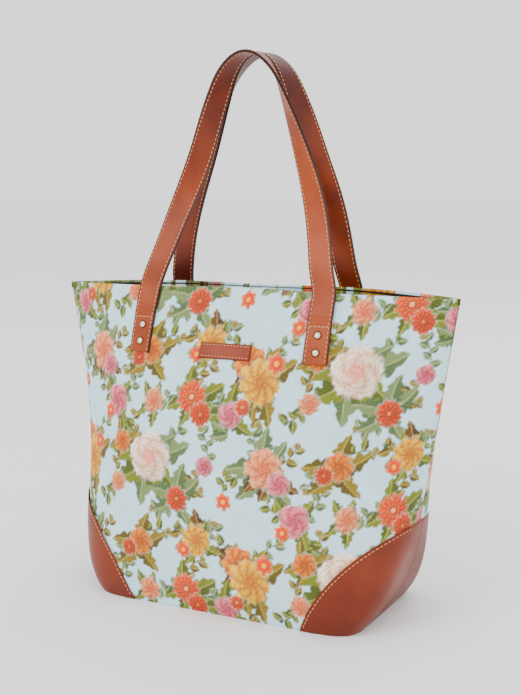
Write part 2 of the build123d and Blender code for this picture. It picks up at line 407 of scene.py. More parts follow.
class Print:
    """The cloth's colours at flat places, in mm, on which motifs are laid one over another."""

    def __init__(self, s, t):
        self.s, self.t = s, t
        mottle = 1 + 0.025 * noise(s / 9, t / 9, 3)
        self.colours = linear(GROUND) * mottle[:, None]

    def near(self, x, y, reach):
        """Which places lie near a point of the repeat, and how far across and up from it."""
        column = np.round((self.s - x) / REPEAT_WIDTH)
        dx = self.s - x - column * REPEAT_WIDTH
        dy = self.t - y - column * REPEAT_STEP
        dy = dy - REPEAT_HEIGHT * np.round(dy / REPEAT_HEIGHT)
        index = np.nonzero((np.abs(dx) < reach) & (np.abs(dy) < reach))[0]
        return index, dx[index], dy[index]

    def lay(self, index, cover, colour):
        """Covers places with a colour, each by its own share."""
        self.colours[index] += (colour - self.colours[index]) * cover[:, None]

    def bloom(self, x, y, radius, kind, seed):
        """A flower: rings of petals from the outside in, then its heart."""
        look = BLOOMS[kind]
        index, dx, dy = self.near(x, y, radius * 1.35)
        angle = np.arctan2(dy, dx)
        ragged = 1 + look["ruffle"] * noise(dx * 0.4 + 20, dy * 0.4 + 20, seed)
        r = np.hypot(dx, dy) * ragged
        light, dark, heart = (linear(look[key]) for key in ("light", "dark", "heart"))
        sun = 1 + 0.15 * (dy - dx) / radius
        for ring in range(look["rings"]):
            depth = ring / look["rings"]
            lobe = np.abs(np.cos(look["petals"] * angle / 2 + seed + ring * 2.4))
            edge = radius * (1 - 0.84 * depth) * (1 - look["notch"] * (1 - lobe**0.7))
            if ring == 0:
                self.lay(index, 0.3 * soft(edge + 1.0 - r, 0.8), linear(HALO))
            tip = np.clip((r / edge - 0.45) * 1.9, 0, 1) * (0.12 + 0.88 * lobe)
            tint = mixed(dark, mixed(light, heart, 0.55 * depth**2), tip)
            rim = 1 - 0.5 * soft(0.8 - (edge - r), 0.4)
            self.lay(index, soft(edge - r, 0.5), tint * (sun * rim)[:, None])
        fleck = 0.5 + 0.5 * noise(dx * 1.1 + 5, dy * 1.1 + 5, seed + 1)
        hub = radius * look["hub"]
        self.lay(index, 0.85 * soft(hub - r, 0.7), mixed(heart, light, 0.6 * fleck))

    def leaf(self, x, y, length, width, turn, kind, lobes=0, bend=0.0):
        """A leaf with its veins and its rib, pointing away from a place."""
        ahead, aside = np.cos(turn), np.sin(turn)
        half = length / 2
        index, dx, dy = self.near(x + ahead * half, y + aside * half, half + width + 2)
        dx, dy = dx + ahead * half, dy + aside * half
        u = dx * ahead + dy * aside
        v = dy * ahead - dx * aside - bend * u * u / length
        p = np.clip(u / length, 0, 1)
        edge = width * np.sin(np.pi * p**0.8) ** 0.85
        if lobes:
            edge = edge * (0.62 + 0.38 * np.abs(np.sin(np.pi * lobes * p)))
        inside = soft(edge - np.abs(v), 0.4) * (u > 0) * (u < length)
        light, dark = (linear(code) for code in LEAVES[kind])
        vein = 0.5 + 0.5 * np.sin(2 * np.pi * (u - 0.8 * np.abs(v)) / 4.0)
        share = np.clip(0.10 + 0.42 * (v > 0) + 0.20 * vein + 0.3 * (p - 0.5), 0, 1)
        self.lay(index, inside, mixed(dark, light, share))
        rib = soft(0.55 - np.abs(v), 0.3) * inside
        self.lay(index, 0.6 * rib, mixed(light, linear("F2EBC0"), np.full(len(u), 0.35)))

    def stem(self, x, y, reach_x, reach_y, bow, width=1.3):
        """A curved stem from a place: the place and heading of its far end, and its route."""
        end = np.array([reach_x, reach_y])
        side = np.array([-reach_y, reach_x]) * bow
        t = np.linspace(0, 1, 13)[:, None]
        route = 2 * t * (1 - t) * (end / 2 + side) + t * t * end
        length = float(np.hypot(*end))
        index, dx, dy = self.near(x + reach_x / 2, y + reach_y / 2, length * 0.8 + 3)
        spot = np.stack([dx + reach_x / 2, dy + reach_y / 2], axis=1)
        nearest = np.full(len(index), 99.0)
        for start, stop in zip(route[:-1], route[1:]):
            run = stop - start
            share = np.clip(((spot - start) @ run) / (run @ run), 0, 1)
            nearest = np.minimum(nearest, np.linalg.norm(spot - start - share[:, None] * run, axis=1))
        self.lay(index, 0.9 * soft(width / 2 - nearest, 0.45), linear(STEM))
        heading = route[-1] - route[-2]
        return x + reach_x, y + reach_y, float(np.arctan2(heading[1], heading[0])), route

    def bud(self, x, y, turn, kind, seed):
        """A small flower held by three sepals."""
        self.bloom(x + 2.2 * np.cos(turn), y + 2.2 * np.sin(turn), 3.6, kind, seed)
        for swing in (-0.7, 0.0, 0.7):
            self.leaf(x - np.cos(turn), y - np.sin(turn), 6.5, 1.3, turn + swing, "green")

    def pod(self, x, y):
        """A round seed pod with a dark eye."""
        index, dx, dy = self.near(x, y, 6)
        r = np.hypot(dx, dy)
        light, dark = (linear(code) for code in LEAVES["sage"])
        self.lay(index, soft(2.7 - r, 0.4), mixed(dark, light, np.clip(0.5 + (dy - dx) / 5, 0, 1)))
        self.lay(index, soft(0.9 - r, 0.4), linear("4A5A34"))

    def sprig(self, x, y, reach_x, reach_y, bow, tip, leaf, seed):
        """A stem with small leaves on both sides and something at its tip."""
        far_x, far_y, turn, route = self.stem(x, y, reach_x, reach_y, bow)
        rng = np.random.default_rng(seed)
        for number, step in enumerate((3, 5, 7, 9, 11)):
            spot, before = route[step], route[step - 1]
            heading = np.arctan2(spot[1] - before[1], spot[0] - before[0])
            swing = (0.9 if number % 2 else -0.9) + rng.uniform(-0.25, 0.25)
            size = rng.uniform(9.0, 13.0)
            self.leaf(x + spot[0], y + spot[1], size, size * 0.32, heading + swing, leaf)
        if tip == "pod":
            self.pod(far_x, far_y)
        elif tip:
            self.bud(far_x, far_y, turn, tip, seed)


# Where things lie in one repeat: sprigs first, then the large leaves, then the flowers.
SPRIGS = [
    (40, 45, 29, 34, 0.25, "pink", "sage"),
    (40, 45, -31, 26, -0.3, "pod", "green"),
    (40, 41, 5, -36, 0.2, "coral", "olive"),
    (129, 57, 34, 26, -0.3, "pod", "sage"),
    (129, 52, 26, -34, 0.3, "pink", "green"),
    (129, 57, -22, 33, 0.25, "salmon", "olive"),
    (84, 103, -29, 14, 0.4, "coral", "green"),
    (84, 103, 24, 26, -0.3, "star", "sage"),
    (170, 114, 19, 29, 0.3, "coral", "olive"),
    (170, 110, -33, -9, -0.35, "pod", "sage"),
    (170, 110, 31, -17, 0.3, "pink", "green"),
    (53, 146, -38, -10, 0.3, "star", "green"),
    (53, 146, 29, 19, -0.3, "pink", "olive"),
    (53, 146, -12, 29, 0.25, "pod", "sage"),
    (120, 151, 31, 14, 0.3, "coral", "green"),
    (120, 151, -26, -21, -0.3, "salmon", "sage"),
    (89, 26, 7, 31, 0.35, "star", "olive"),
    (89, 26, -19, -19, 0.3, "pod", "green"),
    (191, 50, -5, 33, -0.3, "star", "sage"),
    (191, 50, -24, -17, 0.3, "coral", "olive"),
    (12, 112, 9, 29, 0.3, "pink", "green"),
    (162, 16, 24, 12, 0.3, "star", "olive"),
    (162, 16, -26, -12, 0.3, "pink", "sage"),
    (92, 64, 8, 20, 0.3, "pod", "green"),
    (185, 162, 18, 14, -0.3, "coral", "sage"),
    (185, 162, -24, 8, 0.3, "pod", "olive"),
    (14, 10, -16, 20, 0.3, "salmon", "sage"),
]
FANS = [
    (40, 40, 41, "olive", (0.3, 1.3, 2.5, 3.6, 4.4, 5.3)),
    (129, 53, 52, "sage", (0.1, 0.9, 2.2, 3.5, 4.3, 5.4)),
    (129, 50, 50, "green", (2.8, 3.9, 4.9, 5.9)),
    (83, 101, 30, "green", (0.6, 2.6, 3.9, 5.4)),
    (172, 110, 37, "green", (0.2, 1.9, 3.3, 4.6, 5.7)),
    (53, 144, 41, "sage", (0.7, 1.8, 3.0, 4.2, 5.2)),
    (55, 141, 39, "brown", (3.6, 4.7, 5.6)),
    (120, 148, 33, "olive", (0.2, 1.5, 2.9, 4.1, 5.2)),
    (33, 52, 33, "brown", (2.0, 2.9, 3.7)),
    (162, 18, 34, "sage", (0.5, 1.6, 2.7, 3.9, 5.0)),
    (94, 62, 29, "olive", (0.2, 2.0, 3.3, 4.7)),
    (184, 160, 34, "green", (0.9, 2.1, 3.3, 4.5, 5.7)),
    (186, 162, 29, "brown", (1.5, 3.9)),
    (14, 8, 30, "green", (0.4, 1.7, 3.0, 4.3, 5.5)),
    (14, 172, 27, "sage", (2.4, 3.6)),
    (130, 104, 29, "green", (1.0, 2.4, 3.6, 5.0)),
]
FLOWERS = [
    (29, 55, 16.0, "amber"),
    (41, 40, 21.0, "gold"),
    (55, 57, 9.5, "star"),
    (130, 53, 23.5, "cream"),
    (83, 101, 15.0, "pink"),
    (72, 89, 8.0, "star"),
    (172, 112, 15.5, "coral"),
    (183, 97, 11.5, "russet"),
    (52, 145, 18.5, "salmon"),
    (67, 132, 11.0, "pink"),
    (121, 151, 13.0, "amber"),
    (108, 143, 8.5, "russet"),
    (91, 24, 10.0, "salmon"),
    (191, 50, 9.5, "pink"),
    (12, 110, 8.5, "star"),
    (162, 17, 12.5, "russet"),
    (94, 63, 11.0, "amber"),
    (184, 161, 15.0, "gold"),
    (170, 150, 8.0, "star"),
    (14, 9, 12.0, "pink"),
    (26, 17, 8.0, "coral"),
    (131, 105, 11.5, "salmon"),
]


def printed(s, t):
    """The print's colours at flat places, given in metres."""
    shape = s.shape
    cloth = Print(s.reshape(-1) / MM, t.reshape(-1) / MM)
    for number, (x, y, reach_x, reach_y, bow, tip, leaf) in enumerate(SPRIGS):
        cloth.sprig(x, y, reach_x, reach_y, bow, tip, leaf, number + SPRIG_SEED)
    for x, y, length, kind, turns in FANS:
        for number, turn in enumerate(turns):
            size = length * (0.85 + 0.15 * np.sin(5.0 * turn))
            lobes, bend = 4 + number % 2, 0.25 * (-1) ** number
            cloth.leaf(x, y, size, size * 0.28, turn, kind, lobes, bend)
    for number, (x, y, radius, kind) in enumerate(FLOWERS):
        cloth.bloom(x, y, radius, kind, number + FLOWER_SEED)
    grey = (cloth.colours @ np.array(BRIGHTNESS))[:, None]
    rich = np.clip(grey + (cloth.colours - grey) * RICHNESS, 0, 1)
    return rich.reshape(*shape, 3)


# Shader building. An effect that several materials share is a node group, made once.
def effect_group(name, inputs, outputs):
    tree = bpy.data.node_groups.new(name, "ShaderNodeTree")
    for label, kind, value in inputs:
        socket = tree.interface.new_socket(label, in_out="INPUT", socket_type=kind)
        if value is not None:
            socket.default_value = value
    for label in outputs:
        tree.interface.new_socket(label, in_out="OUTPUT", socket_type="NodeSocketFloat")
    return tree, tree.nodes.new("NodeGroupInput"), tree.nodes.new("NodeGroupOutput")


def math_node(tree, operation, first, second=None):
    """A sum of one or two values, each a number or a socket."""
    node = tree.nodes.new("ShaderNodeMath")
    node.operation = operation
    for socket, value in zip(node.inputs, (first, second)):
        if value is None:
            continue
        if isinstance(value, bpy.types.NodeSocket):
            tree.links.new(value, socket)
        else:
            socket.default_value = value
    return node.outputs[0]


def noise_node(tree, places, scale, detail=2.0):
    """Smooth noise over the places that a socket gives."""
    node = tree.nodes.new("ShaderNodeTexNoise")
    node.inputs["Scale"].default_value = scale
    node.inputs["Detail"].default_value = detail
    tree.links.new(places, node.inputs["Vector"])
    return node.outputs["Fac"]


def object_places(tree):
    return tree.nodes.new("ShaderNodeTexCoord").outputs["Object"]


def weave_group():
    """Threads over and under each other, as a height, and an uneven tone over the cloth."""
    if "Cloth weave" in bpy.data.node_groups:
        return bpy.data.node_groups["Cloth weave"]
    tree, given, result = effect_group(
        "Cloth weave",
        [("Vector", "NodeSocketVector", None), ("Pitch", "NodeSocketFloat", 0.0009)],
        ["Height", "Tone"],
    )
    parts = tree.nodes.new("ShaderNodeSeparateXYZ")
    tree.links.new(given.outputs["Vector"], parts.inputs[0])
    waves = []
    for axis in ("X", "Y"):
        turns = math_node(tree, "DIVIDE", parts.outputs[axis], given.outputs["Pitch"])
        waves.append(math_node(tree, "SINE", math_node(tree, "MULTIPLY", turns, 2 * np.pi)))
    tree.links.new(math_node(tree, "MULTIPLY", *waves), result.inputs["Height"])
    slubs = noise_node(tree, given.outputs["Vector"], 60.0, 4.0)
    tree.links.new(slubs, result.inputs["Tone"])
    return tree


def grain_group():
    """Leather's pebbled grain as a height, and its cloudy tone."""
    if "Leather grain" in bpy.data.node_groups:
        return bpy.data.node_groups["Leather grain"]
    tree, given, result = effect_group(
        "Leather grain",
        [("Vector", "NodeSocketVector", None), ("Cells", "NodeSocketFloat", 700.0)],
        ["Height", "Tone"],
    )
    cells = tree.nodes.new("ShaderNodeTexVoronoi")
    tree.links.new(given.outputs["Vector"], cells.inputs["Vector"])
    tree.links.new(given.outputs["Cells"], cells.inputs["Scale"])
    pores = noise_node(tree, given.outputs["Vector"], 420.0, 5.0)
    height = math_node(tree, "MULTIPLY", cells.outputs["Distance"], pores)
    tree.links.new(height, result.inputs["Height"])
    cloud = noise_node(tree, given.outputs["Vector"], 22.0, 6.0)
    tree.links.new(cloud, result.inputs["Tone"])
    return tree


def new_material(name, roughness, metallic=0.0):
    material = bpy.data.materials.new(name)
    material.use_nodes = True
    shader = material.node_tree.nodes["Principled BSDF"]
    shader.inputs["Roughness"].default_value = roughness
    shader.inputs["Metallic"].default_value = metallic
    return material, material.node_tree, shader


def place_group(tree, group, source, **values):
    """A shared effect, laid over the places that a socket gives."""
    node = tree.nodes.new("ShaderNodeGroup")
    node.node_tree = group
    tree.links.new(source, node.inputs["Vector"])
    for name, value in values.items():
        node.inputs[name].default_value = value
    return node


def bumped(tree, shader, height, distance, strength):
    bump = tree.nodes.new("ShaderNodeBump")
    bump.inputs["Distance"].default_value = distance
    bump.inputs["Strength"].default_value = strength
    tree.links.new(height, bump.inputs["Height"])
    tree.links.new(bump.outputs["Normal"], shader.inputs["Normal"])


def blend_colours(tree, share, first, second):
    """A colour between two, each a colour or a socket, by a share."""
    node = tree.nodes.new("ShaderNodeMix")
    node.data_type = "RGBA"
    for socket, value in ((node.inputs[0], share), (node.inputs[6], first), (node.inputs[7], second)):
        if isinstance(value, bpy.types.NodeSocket):
            tree.links.new(value, socket)
        else:
            socket.default_value = value
    return node.outputs[2]


def coloured(tree, shader, share, light, dark):
    """Gives a shader a colour between a light and a dark one."""
    colour = blend_colours(tree, share, (*light, 1), (*dark, 1))
    tree.links.new(colour, shader.inputs["Base Color"])


def stretched(tree, value, low, high, to_low, to_high):
    """A value moved from one range to another, and kept inside it."""
    node = tree.nodes.new("ShaderNodeMapRange")
    tree.links.new(value, node.inputs["Value"])
    for name, number in (("From Min", low), ("From Max", high), ("To Min", to_low), ("To Max", to_high)):
        node.inputs[name].default_value = number
    return node.outputs["Result"]


def attribute(tree, name, output="Fac"):
    node = tree.nodes.new("ShaderNodeAttribute")
    node.attribute_name = name
    return node.outputs[output]


def printed_cloth(name):
    material, tree, shader = new_material(name, 0.78)
    flat = tree.nodes.new("ShaderNodeUVMap")
    flat.uv_map = "cloth"
    weave = place_group(tree, weave_group(), flat.outputs["UV"], Pitch=0.0010)
    tone = stretched(tree, weave.outputs["Tone"], 0.3, 0.7, 0.95, 1.04)
    threads = stretched(tree, weave.outputs["Height"], -1, 1, 0.97, 1.03)
    shade = math_node(tree, "MULTIPLY", tone, threads)
    shade = math_node(tree, "MULTIPLY", shade, attribute(tree, "shade"))
    scale = tree.nodes.new("ShaderNodeVectorMath")
    scale.operation = "SCALE"
    tree.links.new(attribute(tree, "print", "Color"), scale.inputs[0])
    tree.links.new(shade, scale.inputs["Scale"])
    tree.links.new(scale.outputs[0], shader.inputs["Base Color"])
    bumped(tree, shader, weave.outputs["Height"], 0.00012, 0.5)
    return material


def plain_cloth(name, light, dark):
    material, tree, shader = new_material(name, 0.85)
    weave = place_group(tree, weave_group(), object_places(tree), Pitch=0.0008)
    coloured(tree, shader, stretched(tree, weave.outputs["Tone"], 0.3, 0.7, 0.0, 1.0), light, dark)
    bumped(tree, shader, weave.outputs["Height"], 0.00010, 0.4)
    return material


def leather(name, light, dark, edge, roughness):
    material, tree, shader = new_material(name, roughness)
    grain = place_group(tree, grain_group(), object_places(tree), Cells=900.0)
    cloudy = stretched(tree, grain.outputs["Tone"], 0.35, 0.65, -0.25, 0.25)
    # The tone attribute darkens the leather: each piece's own tone, and on the straps painted shade too.
    share = math_node(tree, "ADD", cloudy, attribute(tree, "tone"))
    base = blend_colours(tree, share, (*light, 1), (*dark, 1))
    colour = blend_colours(tree, attribute(tree, "edge"), base, (*edge, 1))
    tree.links.new(colour, shader.inputs["Base Color"])
    shader.inputs["Specular IOR Level"].default_value = 0.28
    rough = stretched(tree, grain.outputs["Tone"], 0.3, 0.7, roughness - 0.08, roughness + 0.08)
    tree.links.new(rough, shader.inputs["Roughness"])
    bumped(tree, shader, grain.outputs["Height"], 0.00012, 0.45)
    return material


def metal(name, colour, roughness, scratches):
    material, tree, shader = new_material(name, roughness, metallic=1.0)
    worn = noise_node(tree, object_places(tree), scratches, 4.0)
    dull = tuple(0.62 * value for value in colour)
    coloured(tree, shader, stretched(tree, worn, 0.4, 0.75, 0.0, 1.0), colour, dull)
    rough = stretched(tree, worn, 0.3, 0.7, roughness - 0.06, roughness + 0.12)
    tree.links.new(rough, shader.inputs["Roughness"])
    bumped(tree, shader, worn, 0.00008, 0.3)
    return material


def thread(name, colour):
    material, tree, shader = new_material(name, 0.6)
    twist = noise_node(tree, object_places(tree), 900.0)
    dark = tuple(0.7 * value for value in colour)
    coloured(tree, shader, stretched(tree, twist, 0.35, 0.65, 0.0, 1.0), colour, dark)
    bumped(tree, shader, twist, 0.0001, 0.4)
    return material


def made_once(name, make, *values):
    """The material of that name, made from the values where it isn't there yet."""
    return bpy.data.materials.get(name) or make(name, *values)


# Each leather's light and dark tone, the stain of its cut edge, and its roughness.
LEATHERS = {
    "Strap leather": ("983C08", "4A0F01", "32100A", 0.44),
    "Patch leather": ("7C2A06", "571702", "3C1408", 0.42),
    "Label leather": ("8C3212", "682108", "431608", 0.45),
}


def sewn_leather(name):
    *tones, roughness = LEATHERS[name]
    return made_once(name, leather, *(tuple(linear(code)) for code in tones), roughness)


def brass():
    return made_once("Rivet brass", metal, (0.93, 0.82, 0.58), 0.26, 300.0)


def stitching_thread(context):
    return made_once("Stitching thread", thread, tuple(context.scene.tote_colours.thread))


# Repeats: one shape is set on every point of a mesh, turned by the point's own directions.
def repeat_tree():
    if "Set on points" in bpy.data.node_groups:
        return bpy.data.node_groups["Set on points"]
    tree = bpy.data.node_groups.new("Set on points", "GeometryNodeTree")
    for label, kind in (
        ("Geometry", "NodeSocketGeometry"), ("Shape", "NodeSocketObject"), ("Finish", "NodeSocketMaterial"),
    ):
        tree.interface.new_socket(label, in_out="INPUT", socket_type=kind)
    size = tree.interface.new_socket("Size", in_out="INPUT", socket_type="NodeSocketFloat")
    size.default_value = 1.0
    tree.interface.new_socket("Geometry", in_out="OUTPUT", socket_type="NodeSocketGeometry")
    given, result = tree.nodes.new("NodeGroupInput"), tree.nodes.new("NodeGroupOutput")
    turn = tree.nodes.new("FunctionNodeAxesToRotation")
    turn.primary_axis = "Z"
    turn.secondary_axis = "X"
    for name, socket in (("outward", turn.inputs[0]), ("along", turn.inputs[1])):
        named = tree.nodes.new("GeometryNodeInputNamedAttribute")
        named.data_type = "FLOAT_VECTOR"
        named.inputs["Name"].default_value = name
        tree.links.new(named.outputs["Attribute"], socket)
    shape = tree.nodes.new("GeometryNodeObjectInfo")
    tree.links.new(given.outputs["Shape"], shape.inputs["Object"])
    copies = tree.nodes.new("GeometryNodeInstanceOnPoints")
    tree.links.new(given.outputs["Geometry"], copies.inputs["Points"])
    tree.links.new(shape.outputs["Geometry"], copies.inputs["Instance"])
    tree.links.new(turn.outputs["Rotation"], copies.inputs["Rotation"])
    tree.links.new(given.outputs["Size"], copies.inputs["Scale"])
    real = tree.nodes.new("GeometryNodeRealizeInstances")
    tree.links.new(copies.outputs["Instances"], real.inputs["Geometry"])
    finish = tree.nodes.new("GeometryNodeSetMaterial")
    tree.links.new(real.outputs["Geometry"], finish.inputs["Geometry"])
    tree.links.new(given.outputs["Finish"], finish.inputs["Material"])
    tree.links.new(finish.outputs["Geometry"], result.inputs["Geometry"])
    return tree


class Spots:
    """Where copies of a shape go: their places, and the ways out of the surface and along it."""

    def __init__(self):
        self.places, self.outward, self.along = [], [], []

    def add(self, places, outward, along, turn=1.0):
        """Adds one spot or a row of them, taken to another side of the bag by the turn."""
        for store, rows in ((self.places, places), (self.outward, outward), (self.along, along)):
            store.extend(np.atleast_2d(rows) * turn)


def repeated(name, spots, shape, material):
    """One mesh with the shape set on every spot. The shape's own object is used up."""
    mesh = bpy.data.meshes.new(name + "_points")
    mesh.from_pydata([tuple(place) for place in spots.places], [], [])
    for label, vectors in (("outward", spots.outward), ("along", spots.along)):
        fill(mesh.attributes.new(label, "FLOAT_VECTOR", "POINT"), "vector", vectors)
    points = bpy.data.objects.new(name + "_points", mesh)
    bpy.context.scene.collection.objects.link(points)
    tree = repeat_tree()
    modifier = points.modifiers.new("Set on points", "NODES")
    modifier.node_group = tree
    inputs = {item.name: item.identifier for item in tree.interface.items_tree if item.in_out == "INPUT"}
    modifier[inputs["Shape"]] = shape
    modifier[inputs["Finish"]] = material
    modifier[inputs["Size"]] = 1.0
    evaluated = points.evaluated_get(bpy.context.evaluated_depsgraph_get())
    result = bpy.data.meshes.new_from_object(evaluated)
    result.name = name
    for used in (points, shape):
        bpy.data.objects.remove(used)
    bpy.data.meshes.remove(mesh)
    if not result.materials:
        result.materials.append(material)
    result.shade_smooth()
    piece = bpy.data.objects.new(name, result)
    bpy.context.scene.collection.objects.link(piece)
    return piece


def stitch_shape(length, width, height):
    """One stitch: a short rounded bar along X that stands up along Z."""
    shape = bmesh.new()
    bmesh.ops.create_uvsphere(shape, u_segments=8, v_segments=5, radius=0.5)
    spin = Matrix.Rotation(np.pi / 2, 4, "Y")
    bmesh.ops.transform(shape, matrix=Matrix.Diagonal((length, width, height, 1)) @ spin, verts=shape.verts)
    mesh = bpy.data.meshes.new("stitch_shape")
    shape.to_mesh(mesh)
    shape.free()
    return bpy.data.objects.new("stitch_shape", mesh)


def turned_shape(name, profile, segments):
    """A shape turned round Z from a profile of radii and heights that starts and ends on the axis."""
    shape = bmesh.new()
    rings = []
    for radius, height in profile:
        if radius == 0:
            rings.append([shape.verts.new((0, 0, height))])
            continue
        steps = np.linspace(0, 2 * np.pi, segments, endpoint=False)
        rings.append([shape.verts.new((radius * np.cos(a), radius * np.sin(a), height)) for a in steps])
    for low, high in zip(rings[:-1], rings[1:]):
        for i in range(segments):
            j = (i + 1) % segments
            if len(low) == 1:
                shape.faces.new((low[0], high[j], high[i]))
            elif len(high) == 1:
                shape.faces.new((low[i], low[j], high[0]))
            else:
                shape.faces.new((low[i], low[j], high[j], high[i]))
    bmesh.ops.recalc_face_normals(shape, faces=shape.faces)
    mesh = bpy.data.meshes.new(name)
    shape.to_mesh(mesh)
    shape.free()
    return bpy.data.objects.new(name, mesh)


def finish_piece(piece, slot, *nodes):
    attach(piece, "root")
    if nodes:
        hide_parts(*nodes)


def mirror(side, hand=1.0):
    """Takes a point of the front's right half, by multiplying it, to a side and a hand of the bag."""
    return np.array([hand, 1.0 if side == "front" else -1.0, 1.0])


# The straps' route, worked out as the solid ones' is.
def smooth_route(points, first, last, count):
    """Places and headings along a smooth curve through the points, with its first and last heading."""
    points = np.asarray(points, float)
    step = np.linalg.norm(np.diff(points, axis=0), axis=1)
    size = len(points)
    matrix = np.zeros((size, size))
    right = np.zeros((size, 3))
    matrix[0, 0] = matrix[-1, -1] = 1
    right[0], right[-1] = first, last
    for i in range(1, size - 1):
        before, after = step[i - 1], step[i]
        matrix[i, i - 1 : i + 2] = after, 2 * (before + after), before
        slope_before = (points[i] - points[i - 1]) / before
        slope_after = (points[i + 1] - points[i]) / after
        right[i] = 3 * (after * slope_before + before * slope_after)
    slopes = np.linalg.solve(matrix, right)
    ends = np.concatenate([[0], np.cumsum(step)])
    places, headings = [], []
    for at in np.linspace(0, ends[-1], count):
        i = min(int(np.searchsorted(ends, at, side="right")) - 1, size - 2)
        h = step[i]
        u = (at - ends[i]) / h
        places.append(
            (2 * u**3 - 3 * u**2 + 1) * points[i] + (u**3 - 2 * u**2 + u) * h * slopes[i]
            + (3 * u**2 - 2 * u**3) * points[i + 1] + (u**3 - u**2) * h * slopes[i + 1]
        )
        heading = (
            (6 * u**2 - 6 * u) / h * (points[i] - points[i + 1])
            + (3 * u**2 - 4 * u + 1) * slopes[i] + (3 * u**2 - 2 * u) * slopes[i + 1]
        )
        headings.append(heading / np.linalg.norm(heading))
    return np.array(places), np.array(headings)


class Strap:
    """Stations along a handle over the front: middle, direction across and direction along."""

    def __init__(self, form, apex, climb):
        seat_lift = STRAP_SEAT_GAP + STRAP_LEATHER + STRAP_GLUE_GAP / 2
        middles, acrosses, alongs = [], [], []
        for height in np.linspace(STRAP_END_HEIGHT, STRAP_SEAT_TOP, SEAT_STATIONS):
            point, normal = form.at(form.share_of(STRAP_LEG, height), height)
            across = np.array([-normal[1], normal[0], 0.0])
            across /= np.linalg.norm(across)
            middles.append(point + normal * seat_lift)
            acrosses.append(across)
            alongs.append(np.cross(normal, across))
        free = [(x, y, BAG_HEIGHT + HANDLE_RISE * share) for share, x, y in climb]
        points = [middles[-1], *free, (0, apex, BAG_HEIGHT + HANDLE_RISE)]
        places, headings = smooth_route(points, alongs[-1], (-1, 0, 0), FREE_STATIONS)
        start = np.arctan2(-acrosses[-1][1], acrosses[-1][0])
        for number in range(1, FREE_STATIONS):
            freed = number / (FREE_STATIONS - 1)
            turn = start * (1 - freed) ** 3 + np.pi / 2 * freed**2
            across = np.array([np.cos(turn), -np.sin(turn), 0.0])
            across = across - headings[number] * (across @ headings[number])
            middles.append(places[number])
            acrosses.append(across / np.linalg.norm(across))
            alongs.append(headings[number])
        mirror_x, mirror_up = np.array([-1, 1, 1]), np.array([1, -1, -1])
        for number in range(len(middles) - 2, -1, -1):
            middles.append(middles[number] * mirror_x)
            acrosses.append(acrosses[number] * mirror_x)
            alongs.append(alongs[number] * mirror_up)
        self.middle, self.across, self.along = map(np.array, (middles, acrosses, alongs))
        self.inward = np.cross(self.along, self.across)
        run = np.linalg.norm(np.diff(self.middle, axis=0), axis=1)
        self.run = np.concatenate([[0], np.cumsum(run)])
        from_end = np.minimum(self.run, self.run[-1] - self.run)
        ripple = sum(np.exp(-(((from_end - at) / CREASE_WIDTH) ** 2)) for at in CREASES)
        self.middle -= self.inward * (CREASE_HEIGHT * ripple)[:, None]

    def leather(self, low, high):
        """The table of points round one leather, its edge mask, its painted shade along the arch and its
        UV.
        """
        half, corner, bevel = STRAP_WIDTH / 2, STRAP_CORNER, 0.3 * STRAP_CORNER
        side = np.linspace(-half + corner, half - corner, 9)
        ring = [(x, low) for x in side]
        ring += [(half - bevel, low + bevel), (half, low + corner), (half, high - corner)]
        ring += [(half - bevel, high - bevel)]
        ring += [(x, high) for x in side[::-1]]
        ring += [(-half + bevel, high - bevel), (-half, high - corner), (-half, low + corner)]
        ring += [(-half + bevel, low + bevel), ring[0]]
        x, y = np.array(ring).T
        points = (
            self.middle[:, None]
            + self.across[:, None] * x[None, :, None]
            + self.inward[:, None] * y[None, :, None]
        )
        caps = [np.repeat(points[i].mean(axis=0)[None], len(x), axis=0)[None] for i in (0, -1)]
        points = np.concatenate([caps[0], points, caps[1]])
        run = np.concatenate([[0], self.run, self.run[-1:]])
        edge = np.clip((np.abs(x) - half + 0.0012) / 0.0010, 0, 1) ** 2
        # Painted shade: the leather is coloured darker along the upper arch, most a little past its top,
        # where the strap's face turns from the light.
        arch_shade = 0.12 + 0.60 * np.exp(-((run / run[-1] - 0.58) / 0.22) ** 2)
        flat = np.stack(np.broadcast_arrays(x[None], run[:, None]), axis=-1)
        return points, edge[None], arch_shade[:, None], flat

    def at_run(self, distance):
        """Middle, across, along and inward directions at distances along the strap."""
        tables = (self.middle, self.across, self.along, self.inward)
        return [
            np.stack([np.interp(distance, self.run, table[:, k]) for k in range(3)], axis=-1)
            for table in tables
        ]


# Settings that a user would change.
class ToteSizes(bpy.types.PropertyGroup):
    stitch_pitch: bpy.props.FloatProperty(
        name="Stitch pitch", description="Distance from one stitch to the next", default=0.0042,
        unit="LENGTH",
    )
    stitch_length: bpy.props.FloatProperty(
        name="Stitch length", description="Length of a stitch that shows", default=0.0031, unit="LENGTH"
    )
    stitch_inset: bpy.props.FloatProperty(
        name="Stitch inset", description="Distance from a strap's edge to its stitches", default=0.0021,
        unit="LENGTH",
    )
    slack: bpy.props.FloatProperty(
        name="Slack", description="How deep the cloth's soft dents are", default=0.0016, unit="LENGTH"
    )
    label_width: bpy.props.FloatProperty(
        name="Label width", description="Width of the leather label", default=0.054, unit="LENGTH"
    )
    label_depth: bpy.props.FloatProperty(
        name="Label height", description="Height of the leather label", default=0.014, unit="LENGTH"
    )


class ToteColours(bpy.types.PropertyGroup):
    thread: bpy.props.FloatVectorProperty(
        name="Thread", description="Colour of the stitches on the leather", subtype="COLOR",
        default=tuple(linear("E8A870")),
    )
    lining: bpy.props.FloatVectorProperty(
        name="Lining", description="Colour of the lining inside the bag", subtype="COLOR",
        default=tuple(linear("3A241C")),
    )
    floor: bpy.props.FloatVectorProperty(
        name="Floor", description="Colour of the floor and backdrop", subtype="COLOR",
        default=(0.93, 0.93, 0.93),
    )


FORM = Form()


